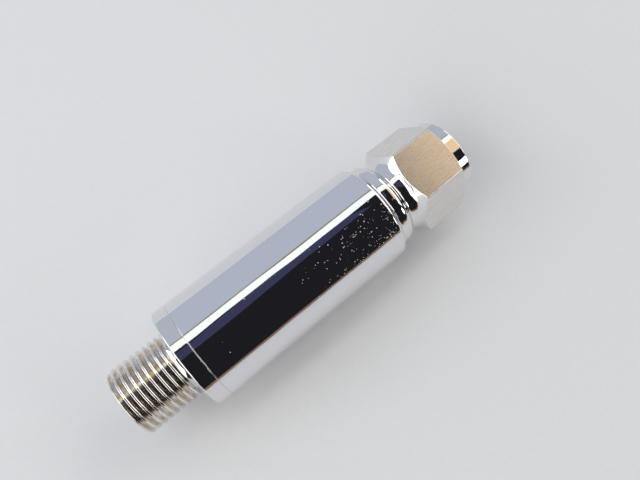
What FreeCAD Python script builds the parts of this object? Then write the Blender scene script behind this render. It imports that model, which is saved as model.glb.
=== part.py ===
import FreeCAD, Part

import math
import os

import Sketcher

# In-line non-return valve with a strainer, G1/8 thread at the outlet and a G1/8 swivel nut at the inlet.
#
# Frame: +X runs along the axis from the outlet thread to the swivel nut, +Z is up.
# The origin is the middle of the length, on the surface that the barrel lies on.
# Along the axis every place is first given as a distance from the seam between collar and barrel.

doc = FreeCAD.newDocument("inline_check_valve")

# ---------------------------------------------------------------- driving dimensions, millimetres
DIMENSIONS = [
    ("thread_od", 9.728, "G1/8 major diameter"),
    ("thread_pitch", 0.907, "G1/8 pitch, 28 turns to the inch"),
    ("thread_depth", 0.581, "height of the 55 degree thread form"),
    ("thread_root", 0.1, "width of the flat at the foot of a groove"),
    ("thread_length", 7.8, "outlet thread, end face to neck"),
    ("thread_bevel", 0.5, "bevel at the mouth of the nut and of the port's bore"),
    ("tip_bevel", 0.25, "bevel on the outside of the port's tip"),
    ("neck_length", 0.9, "plain neck between thread and collar"),
    ("neck_relief", 0.08, "neck below the foot of the thread, in radius"),
    ("collar_length", 2.1, "visible collar of the outlet port"),
    ("edge_bevel", 0.15, "bevel on the collar's front edge"),
    ("seam_bevel", 0.06, "tiny bevels that make the seam line"),
    ("outlet_bore", 5.0, "bore through the outlet port"),
    ("cup_wall", 0.78, "wall round the wide bore at the port's inner end"),
    ("cup_depth", 1.6, "depth of that wide bore"),
    ("cup_cone", 1.0, "length of the cone behind the wide bore"),
    ("spigot_length", 5.0, "outlet port inside the barrel"),
    ("barrel_od", 15.0, "barrel and collar diameter"),
    ("barrel_bore", 12.0, "barrel bore"),
    ("barrel_length", 30.6, "seam to the barrel's end face"),
    ("end_wall", 4.0, "thickness of the barrel's closed end"),
    ("end_round", 0.35, "rounding of the barrel's far edge"),
    ("fit_gap", 0.02, "radial gap of pieces seated in a bore"),
    ("seal_groove", 1.3, "width of every O-ring groove"),
    ("seal_depth", 0.8, "depth of every O-ring groove"),
    ("seal_skin", 0.01, "gap left around a squeezed O-ring"),
    ("port_seal_place", 0.9, "collar face to the port's O-ring groove"),
    ("guide_thickness", 1.6, "poppet guide's disc"),
    ("guide_boss_od", 4.0, "poppet guide's boss"),
    ("guide_boss_back", 1.4, "boss length on the outlet side"),
    ("guide_hole", 1.5, "flow holes through the guide"),
    ("sleeve_wall", 0.58, "wall of the sleeve and of the spacer"),
    ("sleeve_length", 8.4, "sleeve between guide and seat"),
    ("shim_thickness", 0.3, "shim under the spring"),
    ("shim_margin", 0.375, "shim beyond the coil, in radius"),
    ("seat_thickness", 3.2, "valve seat insert"),
    ("seat_bore", 6.4, "bore of the seat"),
    ("lip_height", 0.4, "raised sealing lip"),
    ("lip_width", 0.4, "width of the sealing lip"),
    ("stem_od", 2.0, "poppet stem and stud"),
    ("stem_gap", 0.03, "running gap of the stem in its guide"),
    ("stem_overrun", 1.0, "stem beyond the guide when shut"),
    ("disc_margin", 0.3, "poppet disc beyond the pad, in radius"),
    ("disc_thickness", 1.4, "poppet disc thickness"),
    ("pad_margin", 0.6, "rubber pad beyond the lip, in radius"),
    ("pad_thickness", 1.0, "pad thickness"),
    ("washer_od", 4.6, "washer that holds the pad"),
    ("washer_thickness", 0.3, "washer thickness"),
    ("small_nut_flats", 4.0, "M2 nut across flats"),
    ("small_nut_height", 1.6, "M2 nut height"),
    ("stud_overrun", 0.3, "stud beyond the M2 nut"),
    ("valve_lift", 2.2, "travel of the poppet"),
    ("stop_gap", 0.03, "gap left at the poppet's stop when it is fully open"),
    ("spring_wire", 0.45, "spring wire diameter"),
    ("spring_mean", 6.0, "mean diameter of the coil"),
    ("spring_turns", 5.0, "turns of the coil"),
    ("strainer_flange", 0.8, "strainer flange thickness"),
    ("strainer_od", 8.0, "strainer cage diameter"),
    ("strainer_wall", 0.4, "strainer cage wall"),
    ("strainer_clear", 1.2, "seat to the cage's closed end"),
    ("strainer_floor", 0.6, "closed end of the cage"),
    ("window_width", 1.8, "windows in the cage"),
    ("window_margin", 0.8, "wall left beyond each end of a window"),
    ("mesh_thickness", 0.15, "woven mesh round the cage"),
    ("tail_thread_od", 8.0, "inlet stem's screwed end"),
    ("tail_flange_od", 10.4, "inlet stem's flange"),
    ("tail_flange", 0.8, "flange thickness"),
    ("tail_gasket", 0.4, "gasket under that flange"),
    ("tail_bore", 4.0, "bore of the inlet stem"),
    ("journal_od", 7.4, "journal that the nut turns on"),
    ("journal_gap", 0.05, "running gap between journal and nut"),
    ("clip_thickness", 0.8, "snap ring thickness"),
    ("clip_depth", 0.75, "groove depth in the journal"),
    ("clip_reach", 0.3, "groove depth in the nut"),
    ("clip_width", 0.65, "radial width of the snap ring"),
    ("clip_gap", 0.02, "running gap of the snap ring"),
    ("clip_place", 3.0, "nut's back face to the middle of the ring"),
    ("clip_opening", 2.3, "gap in the split ring"),
    ("nut_play", 0.25, "end float of the nut each way"),
    ("nut_clearance", 0.35, "barrel's end face to the nut at rest"),
    ("nut_flats", 13.0, "swivel nut across flats"),
    ("nut_length", 14.35, "swivel nut, overall"),
    ("nut_corner_cut", 0.076, "turned off the hexagon's corners, in radius"),
    ("nut_chamfer", 38.0, "slope of the hexagon's back end, degrees"),
    ("nut_front_chamfer", 25.0, "slope of the hexagon's front end, degrees"),
    ("nut_flange_od", 13.1, "rounded flange at the nut's back"),
    ("nut_flange", 1.75, "width of that flange"),
    ("nut_flange_slope", 0.75, "length of the slope from flange to waist"),
    ("nut_round", 0.5, "rounding of the flange and of the waist"),
    ("nut_waist_od", 11.4, "waist behind the hexagon"),
    ("nut_waist", 0.6, "length of the narrowest part"),
    ("nut_neck_od", 11.9, "waist where it meets the hexagon"),
    ("nut_back", 5.05, "back face to the hexagon's corners"),
    ("nut_ring_length", 2.1, "round ring at the nut's mouth"),
    ("nut_ring_wall", 1.1, "ring beyond the thread, in radius"),
    ("nut_ring_bevel", 0.25, "bevel of the ring"),
    ("nut_turn", 20.6, "how far the hexagon is turned, degrees"),
    ("nut_shoulder", 4.65, "depth of the nut's plain back bore"),
    ("chamber_gap", 0.1, "clear chamber beyond the nut's thread, in radius"),
    ("chamber_end", 6.3, "back face to the start of the nut's thread"),
    ("nose_length", 6.3, "barrel's end face to the tip of the nose"),
    ("nose_bevel", 0.2, "bevel on the nose"),
    ("nose_groove", 0.9, "width of the O-ring groove in the nose's face"),
    ("nose_groove_depth", 0.7, "depth of that groove"),
]

sheet = doc.addObject("Spreadsheet::Sheet", "Dims")
for row, (alias, value, meaning) in enumerate(DIMENSIONS, start=1):
    sheet.set("A%d" % row, meaning)
    sheet.set("B%d" % row, str(value))
    sheet.setAlias("B%d" % row, alias)
doc.recompute()

# ---------------------------------------------------------------- places along the axis, from the seam
OUTLET_REACH = "(Dims.thread_length + Dims.neck_length + Dims.collar_length)"
NUT_BACK = "(Dims.barrel_length + Dims.nut_clearance)"
MIDDLE = "((%s + Dims.nut_length - %s) / 2)" % (NUT_BACK, OUTLET_REACH)
WALL_FACE = "(Dims.barrel_length - Dims.end_wall)"
GUIDE_END = "(Dims.spigot_length + Dims.guide_thickness)"
SPRING_START = "(%s + Dims.shim_thickness)" % GUIDE_END
SEAT_FACE = "(%s + Dims.sleeve_length)" % GUIDE_END
SEAL_PLANE = "(%s - Dims.lip_height)" % SEAT_FACE
DISC_BACK = "(%s - Dims.pad_thickness - Dims.disc_thickness)" % SEAL_PLANE
BOSS_END = "(%s - Dims.valve_lift - Dims.stop_gap)" % DISC_BACK
SPACER_START = "(%s + Dims.seat_thickness)" % SEAT_FACE
CLIP_MIDDLE = "(%s + Dims.clip_place)" % NUT_BACK

# ---------------------------------------------------------------- radii that several pieces share
SEATED = "(Dims.barrel_bore / 2 - Dims.fit_gap)"
SLEEVE_INSIDE = "(%s - Dims.sleeve_wall)" % SEATED
SEAL_FLOOR = "(%s - Dims.seal_depth)" % SEATED
JOURNAL = "(Dims.journal_od / 2)"
CLIP_FLOOR = "(%s - Dims.clip_depth)" % JOURNAL
NUT_BORE = "(%s + Dims.journal_gap)" % JOURNAL
CLIP_ROOF = "(%s + Dims.clip_reach)" % NUT_BORE
CLIP_OUTSIDE = "(%s - Dims.clip_gap)" % CLIP_ROOF
THREAD_CREST = "(Dims.thread_od / 2)"
THREAD_FOOT = "(%s - Dims.thread_depth)" % THREAD_CREST
NUT_CORNER = "(Dims.nut_flats / 2 / cos(30) - Dims.nut_corner_cut)"
STEM_BORE = "(Dims.stem_od / 2 + Dims.stem_gap)"
STUD_HOLE = "(Dims.stem_od / 2 + Dims.fit_gap)"
CUP_BORE = "(%s - Dims.cup_wall)" % SEATED
LIP_OUTSIDE = "(Dims.seat_bore / 2 + Dims.lip_width)"
PAD_RADIUS = "(%s + Dims.pad_margin)" % LIP_OUTSIDE

pieces = []


def place(thing, from_seam):
    """Put a piece on the valve's axis, its own zero at a distance from the seam."""
    thing.setExpression("Placement.Base.x", "%s - %s" % (from_seam, MIDDLE))
    thing.setExpression("Placement.Base.z", "Dims.barrel_od / 2")


def new_body(name, from_seam):
    body = doc.addObject("PartDesign::Body", name)
    body.Label = name
    place(body, from_seam)
    pieces.append(body)
    return body


def new_sketch(body, name, role):
    """A sketch on one of the body's own origin planes."""
    sketch = body.newObject("Sketcher::SketchObject", name)
    plane = [item for item in body.Origin.OriginFeatures if item.Role == role][0]
    sketch.AttachmentSupport = [(plane, "")]
    sketch.MapMode = "FlatFace"
    return sketch


def origin_axis(body, role):
    return [item for item in body.Origin.OriginFeatures if item.Role == role][0]


def pin_to(sketch, line, name, across, up):
    """Fix the start of a line by two named distances from the sketch's origin, each an expression."""
    for kind, suffix, expression in (("DistanceX", "x", across), ("DistanceY", "y", up)):
        index = sketch.addConstraint(Sketcher.Constraint(kind, -1, 1, line, 1, 1.0 + line))
        sketch.renameConstraint(index, name + suffix)
        sketch.setExpression("Constraints." + name + suffix, expression)


def polygon(sketch, corners):
    """A closed outline whose corners are pairs of expressions."""
    count = len(corners)
    turn = 2 * math.pi / count
    ring = [
        FreeCAD.Vector(20 + 5 * math.cos(turn * k), 20 + 5 * math.sin(turn * k), 0)
        for k in range(count)
    ]
    for k in range(count):
        sketch.addGeometry(Part.LineSegment(ring[k], ring[(k + 1) % count]), False)
    for k in range(count):
        sketch.addConstraint(Sketcher.Constraint("Coincident", k, 2, (k + 1) % count, 1))
    for k, (across, up) in enumerate(corners):
        pin_to(sketch, k, "p%d" % k, across, up)


def circle(sketch, name, across, up, radius):
    """A circle with its centre and radius given by expressions."""
    line = sketch.addGeometry(Part.Circle(FreeCAD.Vector(2, 3, 0), FreeCAD.Vector(0, 0, 1), 1), False)
    for kind, suffix, expression in (("DistanceX", "x", across), ("DistanceY", "y", up)):
        index = sketch.addConstraint(Sketcher.Constraint(kind, -1, 1, line, 3, 2.0))
        sketch.renameConstraint(index, name + suffix)
        sketch.setExpression("Constraints." + name + suffix, expression)
    index = sketch.addConstraint(Sketcher.Constraint("Radius", line, 1.0))
    sketch.renameConstraint(index, name + "r")
    sketch.setExpression("Constraints." + name + "r", radius)


def turned(name, from_seam, corners):
    """A piece turned on a lathe: an outline of (distance, radius) corners spun about the axis."""
    body = new_body(name, from_seam)
    sketch = new_sketch(body, name + "_outline", "XZ_Plane")
    polygon(sketch, corners)
    spin = body.newObject("PartDesign::Revolution", name + "_turned")
    spin.Profile = sketch
    spin.ReferenceAxis = (sketch, ["H_Axis"])
    spin.Angle = 360
    body.Tip = spin
    return body


def tube(name, from_seam, start, end, inner, outer):
    return turned(name, from_seam, [(start, inner), (start, outer), (end, outer), (end, inner)])


def o_ring(name, from_seam, floor, roof):
    """A squeezed O-ring between a groove's floor and the wall that it seals on."""
    body = new_body(name, from_seam)
    sketch = new_sketch(body, name + "_section", "XZ_Plane")
    middle = "(%s + %s) / 2" % (floor, roof)
    section = "(%s - %s) / 2 - Dims.seal_skin" % (roof, floor)
    circle(sketch, "cord", "0", middle, section)
    spin = body.newObject("PartDesign::Revolution", name + "_turned")
    spin.Profile = sketch
    spin.ReferenceAxis = (sketch, ["H_Axis"])
    spin.Angle = 360
    body.Tip = spin
    return body


def cut_through(body, sketch, name, both_ways=True):
    """Cut a sketch's outline through the whole body, and insist that it removes material."""
    doc.recompute()
    before = body.Shape.Volume
    cut = body.newObject("PartDesign::Pocket", name)
    cut.Profile = sketch
    cut.Type = "ThroughAll"
    cut.Midplane = both_ways
    body.Tip = cut
    doc.recompute()
    if not both_ways and body.Shape.Volume > before - 1e-6:
        cut.Reversed = True
        doc.recompute()
    if body.Shape.Volume > before - 1e-6:
        raise RuntimeError(name + " removes nothing")
    return cut


def polar(body, feature, name, count):
    """Repeat a cut evenly about the axis."""
    pattern = body.newObject("PartDesign::PolarPattern", name)
    pattern.Originals = [feature]
    pattern.Axis = (origin_axis(body, "X_Axis"), [""])
    pattern.Angle = 360
    pattern.Occurrences = count
    body.Tip = pattern
    return pattern


def flats(body, name, across_flats, turn):
    """Cut a round blank to a hexagon, its first corner turned from straight up."""
    sketch = new_sketch(body, name + "_flats", "YZ_Plane")
    reach = "(%s / 2 / cos(30))" % across_flats
    corners = []
    for k in range(6):
        angle = "(%d + %s)" % (60 * k, turn)
        corners.append(("%s * sin(%s)" % (reach, angle), "%s * cos(%s)" % (reach, angle)))
    polygon(sketch, corners)
    circle(sketch, "outside", "0", "0", "2 * " + reach)
    return cut_through(body, sketch, name + "_hexagon")


def thread(body, name, start, length, mouth, floor, direction):
    """Parallel V grooves at the thread's pitch, cut outwards (+1) from a bore or inwards (-1) from a rod."""
    sketch = new_sketch(body, name + "_form", "XZ_Plane")
    half_root = "Dims.thread_root / 2"
    half_mouth = "(%s + Dims.thread_depth * tan(27.5))" % half_root
    beyond = "(%s - %d * 0.05)" % (mouth, direction)
    centre = "(%s + Dims.thread_bevel / 2 + Dims.thread_pitch / 2)" % start
    polygon(sketch, [
        ("%s - %s" % (centre, half_mouth), beyond),
        ("%s - %s" % (centre, half_mouth), mouth),
        ("%s - %s" % (centre, half_root), floor),
        ("%s + %s" % (centre, half_root), floor),
        ("%s + %s" % (centre, half_mouth), mouth),
        ("%s + %s" % (centre, half_mouth), beyond),
    ])
    groove = body.newObject("PartDesign::Groove", name + "_groove")
    groove.Profile = sketch
    groove.ReferenceAxis = (sketch, ["H_Axis"])
    groove.Angle = 360
    body.Tip = groove
    row = body.newObject("PartDesign::LinearPattern", name + "_turns")
    row.Originals = [groove]
    row.Direction = (origin_axis(body, "X_Axis"), [""])
    count = "floor((%s - Dims.thread_bevel) / Dims.thread_pitch)" % length
    row.setExpression("Occurrences", count)
    row.setExpression("Length", "Dims.thread_pitch * (%s - 1)" % count)
    body.Tip = row
    return row


def round_edges(body, name, places, radius):
    """Round the full-circle edges at (distance, radius) places, which are expressions as in outlines."""
    doc.recompute()
    base = body.Tip
    chosen = []
    for place_along, place_out in places:
        distance = float(body.evalExpression(place_along))
        reach = float(body.evalExpression(place_out))
        for number, edge in enumerate(base.Shape.Edges, start=1):
            if not isinstance(edge.Curve, Part.Circle):
                continue
            if abs(edge.Curve.Center.x - distance) < 1e-4 and abs(edge.Curve.Radius - reach) < 1e-4:
                chosen.append("Edge%d" % number)
    if len(chosen) != len(places):
        raise RuntimeError(name + ": an edge is missing")
    fillet = body.newObject("PartDesign::Fillet", name)
    fillet.Base = (base, chosen)
    fillet.setExpression("Radius", radius)
    body.Tip = fillet
    return fillet


# ---------------------------------------------------------------- outlet port: thread, neck, collar, spigot
outlet_port = turned("outlet_port", "0", [
    ("-" + OUTLET_REACH, "Dims.outlet_bore / 2 + Dims.thread_bevel"),
    ("-" + OUTLET_REACH, "%s - Dims.tip_bevel" % THREAD_CREST),
    ("-%s + Dims.tip_bevel" % OUTLET_REACH, THREAD_CREST),
    ("-(Dims.neck_length + Dims.collar_length)", THREAD_CREST),
    ("-(Dims.neck_length + Dims.collar_length)", "%s - Dims.neck_relief" % THREAD_FOOT),
    ("-Dims.collar_length", "%s - Dims.neck_relief" % THREAD_FOOT),
    ("-Dims.collar_length", "Dims.barrel_od / 2 - Dims.edge_bevel"),
    ("-Dims.collar_length + Dims.edge_bevel", "Dims.barrel_od / 2"),
    ("-Dims.seam_bevel", "Dims.barrel_od / 2"),
    ("0", "Dims.barrel_od / 2 - Dims.seam_bevel"),
    ("0", SEATED),
    ("Dims.port_seal_place", SEATED),
    ("Dims.port_seal_place", SEAL_FLOOR),
    ("Dims.port_seal_place + Dims.seal_groove", SEAL_FLOOR),
    ("Dims.port_seal_place + Dims.seal_groove", SEATED),
    ("Dims.spigot_length", SEATED),
    ("Dims.spigot_length", CUP_BORE),
    ("Dims.spigot_length - Dims.cup_depth", CUP_BORE),
    ("Dims.spigot_length - Dims.cup_depth - Dims.cup_cone", "Dims.outlet_bore / 2"),
    ("-%s + Dims.thread_bevel" % OUTLET_REACH, "Dims.outlet_bore / 2"),
])
thread(outlet_port, "outlet_thread", "-" + OUTLET_REACH, "Dims.thread_length", THREAD_CREST, THREAD_FOOT, -1)

o_ring(
    "port_o_ring", "(Dims.port_seal_place + Dims.seal_groove / 2)", SEAL_FLOOR, "Dims.barrel_bore / 2"
)

# ---------------------------------------------------------------- barrel: a cup, closed at the nut's end
FLANGE_POCKET = "(Dims.tail_flange + Dims.tail_gasket)"
barrel = turned("barrel", "0", [
    ("0", "Dims.barrel_bore / 2"),
    ("0", "Dims.barrel_od / 2 - Dims.seam_bevel"),
    ("Dims.seam_bevel", "Dims.barrel_od / 2"),
    ("Dims.barrel_length", "Dims.barrel_od / 2"),
    ("Dims.barrel_length", "Dims.tail_flange_od / 2 + Dims.fit_gap"),
    ("Dims.barrel_length - " + FLANGE_POCKET, "Dims.tail_flange_od / 2 + Dims.fit_gap"),
    ("Dims.barrel_length - " + FLANGE_POCKET, "Dims.tail_thread_od / 2 + Dims.fit_gap"),
    (WALL_FACE, "Dims.tail_thread_od / 2 + Dims.fit_gap"),
    (WALL_FACE, "Dims.barrel_bore / 2"),
])
round_edges(barrel, "barrel_far_edge", [("Dims.barrel_length", "Dims.barrel_od / 2")], "Dims.end_round")

# ---------------------------------------------------------------- poppet guide: disc, boss, flow holes
poppet_guide = turned("poppet_guide", "Dims.spigot_length", [
    ("-Dims.guide_boss_back", STEM_BORE),
    ("-Dims.guide_boss_back", "Dims.guide_boss_od / 2"),
    ("0", "Dims.guide_boss_od / 2"),
    ("0", SEATED),
    ("Dims.guide_thickness", SEATED),
    ("Dims.guide_thickness", "Dims.guide_boss_od / 2"),
    ("%s - Dims.spigot_length" % BOSS_END, "Dims.guide_boss_od / 2"),
    ("%s - Dims.spigot_length" % BOSS_END, STEM_BORE),
])
flow_sketch = new_sketch(poppet_guide, "flow_hole_outline", "YZ_Plane")
circle(flow_sketch, "hole", "0", "%s - Dims.guide_hole / 2" % CUP_BORE, "Dims.guide_hole / 2")
polar(poppet_guide, cut_through(poppet_guide, flow_sketch, "flow_hole"), "flow_holes", 10)

# ---------------------------------------------------------------- sleeve and spring shim
tube("valve_sleeve", GUIDE_END, "0", "Dims.sleeve_length", SLEEVE_INSIDE, SEATED)
tube(
    "spring_shim", GUIDE_END, "0", "Dims.shim_thickness",
    "Dims.guide_boss_od / 2 + Dims.fit_gap",
    "(Dims.spring_mean + Dims.spring_wire) / 2 + Dims.shim_margin",
)

# ---------------------------------------------------------------- poppet and what is screwed to it
STEM_TIP = "(Dims.spigot_length - Dims.guide_boss_back - Dims.stem_overrun - %s)" % SEAL_PLANE
STUD_TIP = "(Dims.washer_thickness + Dims.small_nut_height + Dims.stud_overrun)"
DISC_BACK_HERE = "(-Dims.pad_thickness - Dims.disc_thickness)"
turned("poppet", SEAL_PLANE, [
    (STEM_TIP, "0"),
    (STEM_TIP, "Dims.stem_od / 2"),
    (DISC_BACK_HERE, "Dims.stem_od / 2"),
    (DISC_BACK_HERE, "%s + Dims.disc_margin" % PAD_RADIUS),
    ("-Dims.pad_thickness", "%s + Dims.disc_margin" % PAD_RADIUS),
    ("-Dims.pad_thickness", "Dims.stem_od / 2"),
    (STUD_TIP, "Dims.stem_od / 2"),
    (STUD_TIP, "0"),
])
tube("poppet_pad", SEAL_PLANE, "-Dims.pad_thickness", "0", STUD_HOLE, PAD_RADIUS)
tube("pad_washer", SEAL_PLANE, "0", "Dims.washer_thickness", STUD_HOLE, "Dims.washer_od / 2")
poppet_nut = tube(
    "poppet_nut", SEAL_PLANE, "Dims.washer_thickness", "Dims.washer_thickness + Dims.small_nut_height",
    STUD_HOLE, "Dims.small_nut_flats / 2 / cos(30)",
)
flats(poppet_nut, "poppet_nut", "Dims.small_nut_flats", "10")

# ---------------------------------------------------------------- valve seat with its raised lip
turned("valve_seat", SEAT_FACE, [
    ("-Dims.lip_height", "Dims.seat_bore / 2"),
    ("-Dims.lip_height", LIP_OUTSIDE),
    ("0", LIP_OUTSIDE),
    ("0", SEATED),
    ("(Dims.seat_thickness - Dims.seal_groove) / 2", SEATED),
    ("(Dims.seat_thickness - Dims.seal_groove) / 2", SEAL_FLOOR),
    ("(Dims.seat_thickness + Dims.seal_groove) / 2", SEAL_FLOOR),
    ("(Dims.seat_thickness + Dims.seal_groove) / 2", SEATED),
    ("Dims.seat_thickness", SEATED),
    ("Dims.seat_thickness", "Dims.seat_bore / 2"),
])
o_ring("seat_o_ring", "(%s + Dims.seat_thickness / 2)" % SEAT_FACE, SEAL_FLOOR, "Dims.barrel_bore / 2")

# ---------------------------------------------------------------- spacer and strainer
CAGE_FACE = "(%s - Dims.strainer_flange)" % WALL_FACE
tube("spacer_sleeve", SPACER_START, "0", "%s - %s" % (CAGE_FACE, SPACER_START), SLEEVE_INSIDE, SEATED)

CAGE_INSIDE = "(Dims.strainer_od / 2 - Dims.strainer_wall)"
CAGE_LENGTH = "(%s - %s - Dims.strainer_clear)" % (CAGE_FACE, SPACER_START)
strainer_cage = turned("strainer_cage", CAGE_FACE, [
    ("-" + CAGE_LENGTH, "0"),
    ("-" + CAGE_LENGTH, "Dims.strainer_od / 2"),
    ("0", "Dims.strainer_od / 2"),
    ("0", SEATED),
    ("Dims.strainer_flange", SEATED),
    ("Dims.strainer_flange", CAGE_INSIDE),
    ("-%s + Dims.strainer_floor" % CAGE_LENGTH, CAGE_INSIDE),
    ("-%s + Dims.strainer_floor" % CAGE_LENGTH, "0"),
])
window_sketch = new_sketch(strainer_cage, "window_outline", "XY_Plane")
WINDOW_START = "(-%s + Dims.strainer_floor + Dims.window_margin)" % CAGE_LENGTH
polygon(window_sketch, [
    (WINDOW_START, "-Dims.window_width / 2"),
    ("-Dims.window_margin", "-Dims.window_width / 2"),
    ("-Dims.window_margin", "Dims.window_width / 2"),
    (WINDOW_START, "Dims.window_width / 2"),
])
polar(strainer_cage, cut_through(strainer_cage, window_sketch, "window", False), "windows", 8)

MESH_INSIDE = "(Dims.strainer_od / 2 + Dims.fit_gap)"
tube(
    "strainer_mesh", CAGE_FACE, "-" + CAGE_LENGTH, "0", MESH_INSIDE, "%s + Dims.mesh_thickness" % MESH_INSIDE
)

# ---------------------------------------------------------------- inlet stem, its gasket and nose seal
CLIP_HALF = "(Dims.clip_thickness / 2 + Dims.clip_gap)"
CLIP_ON_STEM = "(Dims.nut_clearance + Dims.clip_place)"
NOSE_MIDDLE = "((%s + Dims.tail_bore / 2) / 2)" % JOURNAL
turned("inlet_stem", "Dims.barrel_length", [
    ("-Dims.end_wall", "Dims.tail_bore / 2"),
    ("-Dims.end_wall", "Dims.tail_thread_od / 2"),
    ("-Dims.tail_flange", "Dims.tail_thread_od / 2"),
    ("-Dims.tail_flange", "Dims.tail_flange_od / 2"),
    ("0", "Dims.tail_flange_od / 2"),
    ("0", JOURNAL),
    ("%s - %s" % (CLIP_ON_STEM, CLIP_HALF), JOURNAL),
    ("%s - %s" % (CLIP_ON_STEM, CLIP_HALF), CLIP_FLOOR),
    ("%s + %s" % (CLIP_ON_STEM, CLIP_HALF), CLIP_FLOOR),
    ("%s + %s" % (CLIP_ON_STEM, CLIP_HALF), JOURNAL),
    ("Dims.nose_length - Dims.nose_bevel", JOURNAL),
    ("Dims.nose_length", "%s - Dims.nose_bevel" % JOURNAL),
    ("Dims.nose_length", "%s + Dims.nose_groove / 2" % NOSE_MIDDLE),
    ("Dims.nose_length - Dims.nose_groove_depth", "%s + Dims.nose_groove / 2" % NOSE_MIDDLE),
    ("Dims.nose_length - Dims.nose_groove_depth", "%s - Dims.nose_groove / 2" % NOSE_MIDDLE),
    ("Dims.nose_length", "%s - Dims.nose_groove / 2" % NOSE_MIDDLE),
    ("Dims.nose_length", "Dims.tail_bore / 2"),
])
tube(
    "stem_gasket", "Dims.barrel_length", "-" + FLANGE_POCKET, "-Dims.tail_flange",
    "Dims.tail_thread_od / 2 + Dims.fit_gap", "Dims.tail_flange_od / 2",
)
o_ring(
    "nose_o_ring",
    "(Dims.barrel_length + Dims.nose_length - Dims.nose_groove_depth + Dims.nose_groove / 2)",
    "(%s - Dims.nose_groove / 2)" % NOSE_MIDDLE, "(%s + Dims.nose_groove / 2)" % NOSE_MIDDLE,
)

# ---------------------------------------------------------------- split snap ring that holds the nut
snap_ring = tube(
    "nut_snap_ring", CLIP_MIDDLE, "-Dims.clip_thickness / 2", "Dims.clip_thickness / 2",
    "%s - Dims.clip_width" % CLIP_OUTSIDE, CLIP_OUTSIDE,
)
split_sketch = new_sketch(snap_ring, "split_outline", "YZ_Plane")
polygon(split_sketch, [
    ("-Dims.clip_opening / 2", "0"),
    ("Dims.clip_opening / 2", "0"),
    ("Dims.clip_opening / 2", "2 * " + CLIP_ROOF),
    ("-Dims.clip_opening / 2", "2 * " + CLIP_ROOF),
])
cut_through(snap_ring, split_sketch, "split")

# ---------------------------------------------------------------- swivel nut
CLIP_POCKET = "(Dims.clip_thickness / 2 + Dims.nut_play)"
WAIST_START = "(Dims.nut_flange + Dims.nut_flange_slope)"
NECK_PLACE = "(Dims.nut_back - (%s - Dims.nut_neck_od / 2) * tan(Dims.nut_chamfer))" % NUT_CORNER
RING_START = "(Dims.nut_length - Dims.nut_ring_length)"
HEX_FACE_RADIUS = "(Dims.nut_flats / 2 - Dims.edge_bevel)"
HEX_END = "(%s - (%s - %s) * tan(Dims.nut_front_chamfer))" % (RING_START, NUT_CORNER, HEX_FACE_RADIUS)
RING_RADIUS = "(%s + Dims.nut_ring_wall)" % THREAD_CREST
CHAMBER = "(%s + Dims.chamber_gap)" % THREAD_CREST
swivel_nut = turned("swivel_nut", NUT_BACK, [
    ("0", NUT_BORE),
    ("0", "Dims.nut_flange_od / 2"),
    ("Dims.nut_flange", "Dims.nut_flange_od / 2"),
    (WAIST_START, "Dims.nut_waist_od / 2"),
    (WAIST_START + " + Dims.nut_waist", "Dims.nut_waist_od / 2"),
    (NECK_PLACE, "Dims.nut_neck_od / 2"),
    ("Dims.nut_back", NUT_CORNER),
    (HEX_END, NUT_CORNER),
    (RING_START, HEX_FACE_RADIUS),
    (RING_START, RING_RADIUS),
    ("Dims.nut_length - Dims.nut_ring_bevel", RING_RADIUS),
    ("Dims.nut_length", "%s - Dims.nut_ring_bevel" % RING_RADIUS),
    ("Dims.nut_length", "%s + Dims.thread_bevel" % THREAD_FOOT),
    ("Dims.nut_length - Dims.thread_bevel", THREAD_FOOT),
    ("Dims.chamber_end", THREAD_FOOT),
    ("Dims.chamber_end", CHAMBER),
    ("Dims.nut_shoulder", CHAMBER),
    ("Dims.nut_shoulder", NUT_BORE),
    ("Dims.clip_place + " + CLIP_POCKET, NUT_BORE),
    ("Dims.clip_place + " + CLIP_POCKET, CLIP_ROOF),
    ("Dims.clip_place - " + CLIP_POCKET, CLIP_ROOF),
    ("Dims.clip_place - " + CLIP_POCKET, NUT_BORE),
])
round_edges(swivel_nut, "nut_rounding", [
    ("0", "Dims.nut_flange_od / 2"),
    ("Dims.nut_flange", "Dims.nut_flange_od / 2"),
    (WAIST_START, "Dims.nut_waist_od / 2"),
    (NECK_PLACE, "Dims.nut_neck_od / 2"),
], "Dims.nut_round")
flats(swivel_nut, "swivel_nut", "Dims.nut_flats", "Dims.nut_turn")
thread(
    swivel_nut, "nut_thread", "Dims.chamber_end", "(Dims.nut_length - Dims.chamber_end)",
    THREAD_FOOT, THREAD_CREST, 1,
)

# ---------------------------------------------------------------- return spring
return_spring = new_body("return_spring", SPRING_START)
wire_sketch = new_sketch(return_spring, "spring_wire_section", "XZ_Plane")
circle(wire_sketch, "wire", "Dims.spring_wire / 2", "Dims.spring_mean / 2", "Dims.spring_wire / 2")
coil = return_spring.newObject("PartDesign::AdditiveHelix", "spring_coil")
coil.Profile = wire_sketch
coil.ReferenceAxis = (wire_sketch, ["H_Axis"])
coil.Mode = "height-turns-angle"
coil.setExpression("Height", "%s - %s - Dims.spring_wire" % (DISC_BACK, SPRING_START))
coil.setExpression("Turns", "Dims.spring_turns")
return_spring.Tip = coil

# ---------------------------------------------------------------- check and write
doc.recompute()
for thing in doc.Objects:
    faults = [state for state in thing.State if state in ("Invalid", "Error")]
    if faults:
        raise RuntimeError("%s is %s" % (thing.Name, faults))
os.makedirs("parts", exist_ok=True)
for piece in pieces:
    shape = piece.Shape
    if shape.isNull() or not shape.isValid() or shape.Volume <= 0:
        raise RuntimeError(piece.Label + " has no valid solid")
    shape.exportStep("parts/%s.step" % piece.Label)
    box = shape.BoundBox
    print("%-15s %9.2f mm3  x %7.2f to %6.2f  solids %d" % (
        piece.Label, shape.Volume, box.XMin, box.XMax, len(shape.Solids)))
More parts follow.
